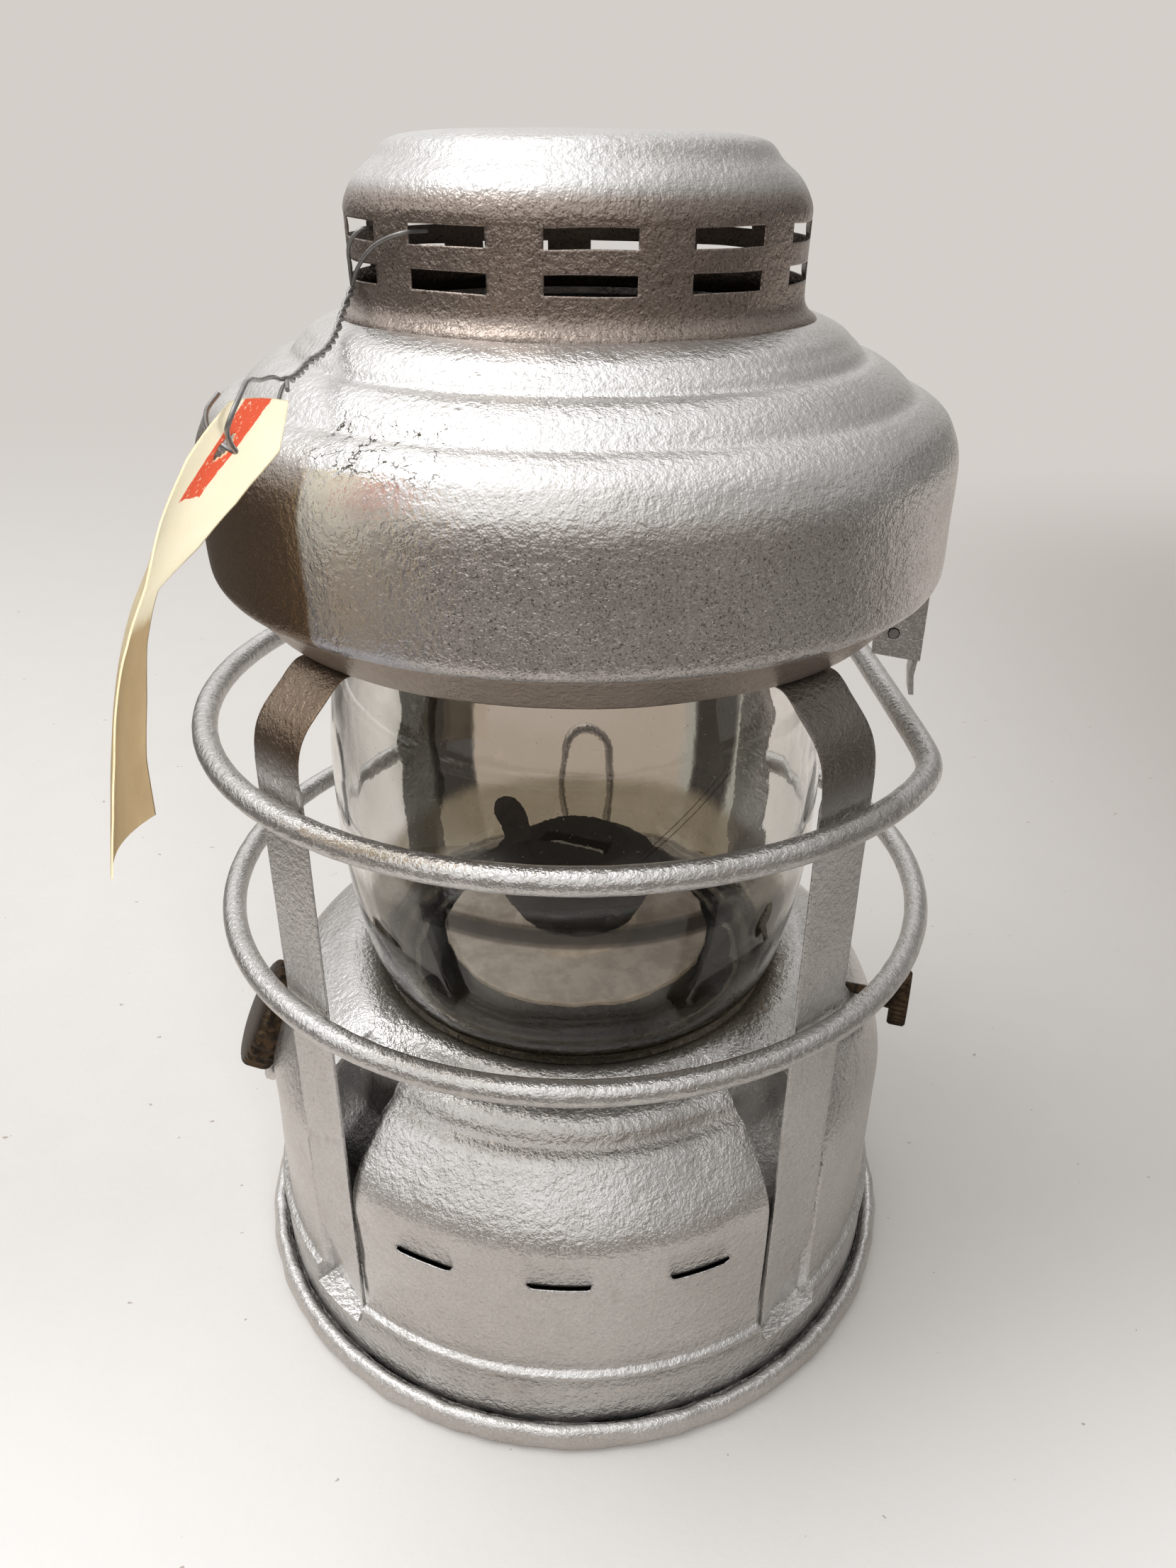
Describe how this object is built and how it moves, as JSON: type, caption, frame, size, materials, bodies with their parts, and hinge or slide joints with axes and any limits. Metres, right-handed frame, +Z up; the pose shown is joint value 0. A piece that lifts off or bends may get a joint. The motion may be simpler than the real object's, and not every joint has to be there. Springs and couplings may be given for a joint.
{
  "type": "oil lantern",
  "caption": "Squat vehicle oil lantern: pressed base with tank and screw filler cap, globe in a strap and ring cage, wick winder, hinged slotted hood with sprung latch, tied tag",
  "frame": {"origin": "on the table, at the middle of the round base", "axes": "+Z up; -Y towards the viewer, the front with the louvres; +X to the viewer's right, the side of the wick knob"},
  "size_m": [0.1933, 0.2152, 0.297],
  "materials": {
    "silver_paint": "thick lumpy silver paint, worn and stained",
    "bare_steel": "dull bare steel",
    "dull_brass": "dull, tarnished",
    "dark_brass": "dark brown, worn bright on edges",
    "sooty_brass": "black with soot",
    "clear_glass": "clear with smoky film low down",
    "cork": "cork sheet",
    "cotton": "woven cotton ribbon, charred on top",
    "tie_wire": "dark annealed wire",
    "card": "cream tag card, brownish on the back"
  },
  "bodies": {
    "lantern": {"base_pan": "silver_paint", "base_shell": "silver_paint", "fuel_tank": "bare_steel", "filler_neck": "silver_paint", "filler_collar": "silver_paint", "burner_seat": "dull_brass", "burner_cup": "dull_brass", "burner_plate": "dull_brass", "flame_hood": "sooty_brass", "flame_hood_tab": "sooty_brass", "wick_tube": "dull_brass", "globe": "clear_glass", "globe_seat": "silver_paint", "strap_front_left": "silver_paint", "strap_front_right": "silver_paint", "strap_rear_right": "silver_paint", "strap_rear_left": "silver_paint", "upper_ring": "silver_paint", "lower_ring": "silver_paint", "rear_hanger": "silver_paint", "cage_top_ring": "silver_paint", "rivet_front_left": "silver_paint", "rivet_front_right": "silver_paint", "rivet_rear_right": "silver_paint", "rivet_rear_left": "silver_paint", "ring_hinge_leaf": "silver_paint", "hinge_pin": "bare_steel", "latch_bracket": "silver_paint", "latch_pin": "bare_steel", "latch_spring": "bare_steel"},
    "hood": {"hood_skirt": "silver_paint", "chimney": "silver_paint", "hood_floor": "silver_paint", "inner_flue": "bare_steel", "hood_hinge_leaf": "silver_paint", "latch_keeper": "silver_paint", "tag_strands": "tie_wire"},
    "latch": {"latch_lever": "silver_paint"},
    "wick_winder": {"wick_shaft": "dark_brass", "wick_wheel_outer": "dull_brass", "wick_wheel_inner": "dull_brass", "wick_knob": "dark_brass"},
    "wick_ribbon": {"wick": "cotton"},
    "cap_seal": {"filler_gasket": "cork"},
    "cap": {"filler_cap": "dark_brass"},
    "hanging_tag": {"tag_wire": "tie_wire", "tag": "card"}
  },
  "joints": [
    {"name": "hood_hinge", "type": "hinge", "parent": "lantern", "child": "hood", "pos_m": [-0.08706, 0.01535, 0.209], "axis": [-0.1736, -0.9848, 0], "range_deg": [0, 110]},
    {"name": "latch_turn", "type": "hinge", "parent": "lantern", "child": "latch", "pos_m": [0.07534, -0.01328, 0.194], "axis": [-0.1736, -0.9848, 0], "range_deg": [0, 8], "stiffness_Nm_per_rad": 0.05, "springref_deg": -6.88},
    {"name": "wick_turn", "type": "hinge", "parent": "lantern", "child": "wick_winder", "pos_m": [0.00206, 0.00616, 0.0895], "axis": [-0.9483, 0.3173, 0], "range_deg": [-45, 100]},
    {"name": "wick_slide", "type": "slide", "parent": "lantern", "child": "wick_ribbon", "axis": [0, 0, 1], "range_m": [-0.0041, 0.0092]},
    {"name": "cap_lift", "type": "slide", "parent": "lantern", "child": "cap_seal", "axis": [-0.8823, -0.124, 0.454], "range_m": [0, 0.009]},
    {"name": "cap_turn", "type": "hinge", "parent": "cap_seal", "child": "cap", "pos_m": [-0.08764, -0.01232, 0.075], "axis": [-0.8823, -0.124, 0.454], "range_deg": [0, 1085]},
    {"name": "tag_hang", "type": "hinge", "parent": "hood", "child": "hanging_tag", "pos_m": [-0.0474, -0.0183, 0.2679], "axis": [-0.1736, -0.9848, 0], "range_deg": [-90, 5]}
  ],
  "couplings": [
    {"joint": "wick_turn", "follows": "wick_slide", "rad_per_m": 188.68},
    {"joint": "cap_turn", "follows": "cap_lift", "rad_per_m": 2094.4},
    {"joint": "tag_hang", "follows": "hood_hinge", "ratio": -0.8}
  ]
}
